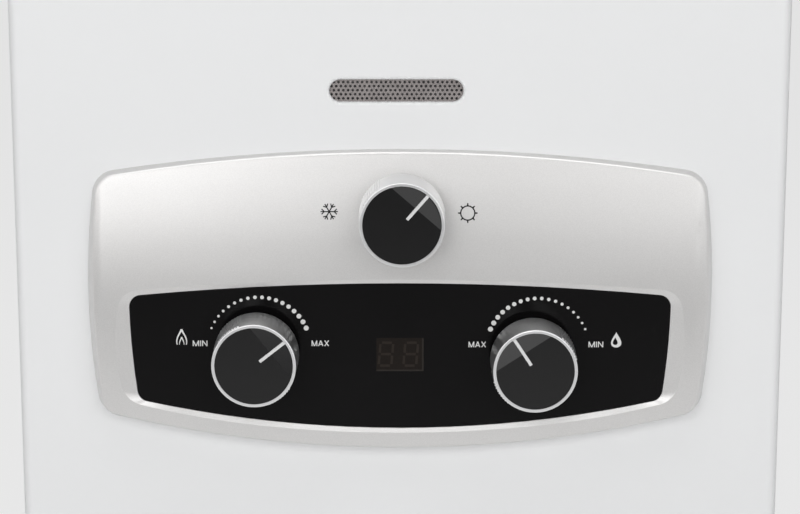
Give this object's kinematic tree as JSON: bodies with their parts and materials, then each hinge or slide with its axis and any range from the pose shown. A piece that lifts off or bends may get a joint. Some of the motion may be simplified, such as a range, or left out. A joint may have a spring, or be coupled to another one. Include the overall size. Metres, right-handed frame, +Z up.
{
  "type": "tankless gas water heater",
  "caption": "Wall-hung tankless gas water heater: white cover with a viewing slot, silver control panel with a black lens and turning knobs, pipe connections below, flue collar on top.",
  "frame": {"origin": "middle of the four wall-screw holes, on the wall's surface", "axes": "+Z up, +Y into the wall, so the front faces -Y, +X to the right as seen from the front"},
  "size_m": [0.33, 0.1885, 0.625],
  "materials": {
    "cover_white": "smooth white stove enamel",
    "plate_steel": "bare zinc-coated sheet",
    "collar_steel": "bare rolled sheet",
    "mesh_steel": "perforated sheet, dull",
    "screw_steel": "bright zinc plating",
    "bar_steel": "plain pressed steel",
    "bezel_silver": "silver paint, satin",
    "lens_black": "polished black",
    "digit_dark": "unlit display",
    "board_green": "green mask",
    "knob_metal": "satin plated",
    "knob_black": "polished black",
    "pointer_pale": "pale silver",
    "valve_brass": "cast and turned",
    "nipple_brass": "turned",
    "pipe_copper": "drawn copper",
    "switch_black": "moulded, matt",
    "battery_grey": "moulded grey",
    "cell_wrap": "plain sleeve",
    "probe_ceramic": "white glazed",
    "diaphragm_rubber": "moulded sheet",
    "lead_rubber": "red sleeve"
  },
  "bodies": {
    "casing": {"back_plate": "plate_steel", "front_cover": "cover_white", "viewing_mesh": "mesh_steel", "cover_screws": "screw_steel", "control_bezel": "bezel_silver", "panel_screws": "screw_steel", "display_lens": "lens_black", "digit_display": "digit_dark", "display_board": "board_green", "gas_valve_body": "valve_brass", "gas_solenoid": "switch_black", "section_valve_body": "valve_brass", "water_valve_body": "valve_brass", "valve_caps": "valve_brass", "diaphragm": "diaphragm_rubber", "diaphragm_cover": "valve_brass", "disc_screws": "screw_steel", "microswitch": "switch_black", "gas_inlet_nipple": "nipple_brass", "water_inlet_nipple": "nipple_brass", "hot_outlet_nipple": "nipple_brass", "gas_feed_pipe": "pipe_copper", "gas_manifold": "plate_steel", "injectors": "valve_brass", "burner_frame": "plate_steel", "burner_bars": "bar_steel", "ignition_electrode": "probe_ceramic", "flame_sensor": "probe_ceramic", "combustion_chamber": "pipe_copper", "exchanger_fins": "pipe_copper", "exchanger_tube": "pipe_copper", "union_nuts": "valve_brass", "cold_pipe": "pipe_copper", "hot_pipe": "pipe_copper", "overheat_switch": "switch_black", "flue_hood": "plate_steel", "flue_collar": "collar_steel", "flue_flange": "collar_steel", "igniter_box": "switch_black", "probe_leads": "lead_rubber", "battery_box": "battery_grey", "battery_hinge_pin": "screw_steel", "batteries": "cell_wrap", "battery_contacts": "screw_steel"},
    "gas_control": {"gas_knob": "knob_metal", "gas_knob_face": "knob_black", "gas_knob_pointer": "pointer_pale", "gas_spindle": "valve_brass"},
    "water_control": {"water_knob": "knob_metal", "water_knob_face": "knob_black", "water_knob_pointer": "pointer_pale", "water_spindle": "valve_brass"},
    "selector_control": {"selector_knob": "knob_metal", "selector_knob_face": "knob_black", "selector_knob_pointer": "pointer_pale", "selector_spindle": "valve_brass"},
    "shut_off_plunger": {"solenoid_plunger": "bar_steel"},
    "water_rod": {"push_rod": "bar_steel"},
    "switch_lever": {"microswitch_lever": "bar_steel"},
    "battery_door": {"battery_lid": "battery_grey"}
  },
  "joints": [
    {"name": "gas_knob", "type": "hinge", "parent": "casing", "child": "gas_control", "pos_m": [-0.0609, -0.1775, -0.1695], "axis": [0, 1, 0], "range_deg": [-126.8, 23.2]},
    {"name": "water_knob", "type": "hinge", "parent": "casing", "child": "water_control", "pos_m": [0.0564, -0.1775, -0.1718], "axis": [0, 1, 0], "range_deg": [-41.7, 108.3]},
    {"name": "selector_knob", "type": "hinge", "parent": "casing", "child": "selector_control", "pos_m": [0.0008, -0.1775, -0.1099], "axis": [0, 1, 0], "range_deg": [-131, 49]},
    {"name": "solenoid_plunger", "type": "slide", "parent": "casing", "child": "shut_off_plunger", "axis": [1, 0, 0], "range_m": [0, 0.003], "stiffness_N_per_m": 200},
    {"name": "push_rod", "type": "slide", "parent": "casing", "child": "water_rod", "axis": [1, 0, 0], "range_m": [0, 0.003], "stiffness_N_per_m": 300},
    {"name": "microswitch_lever", "type": "hinge", "parent": "casing", "child": "switch_lever", "pos_m": [0.1109, -0.0935, -0.1538], "axis": [0, -1, 0], "range_deg": [0, 9.5]},
    {"name": "battery_lid", "type": "hinge", "parent": "casing", "child": "battery_door", "pos_m": [0, -0.077, -0.278], "axis": [1, 0, 0], "range_deg": [0, 95]}
  ],
  "couplings": [
    {"joint": "microswitch_lever", "follows": "push_rod", "rad_per_m": 55}
  ]
}
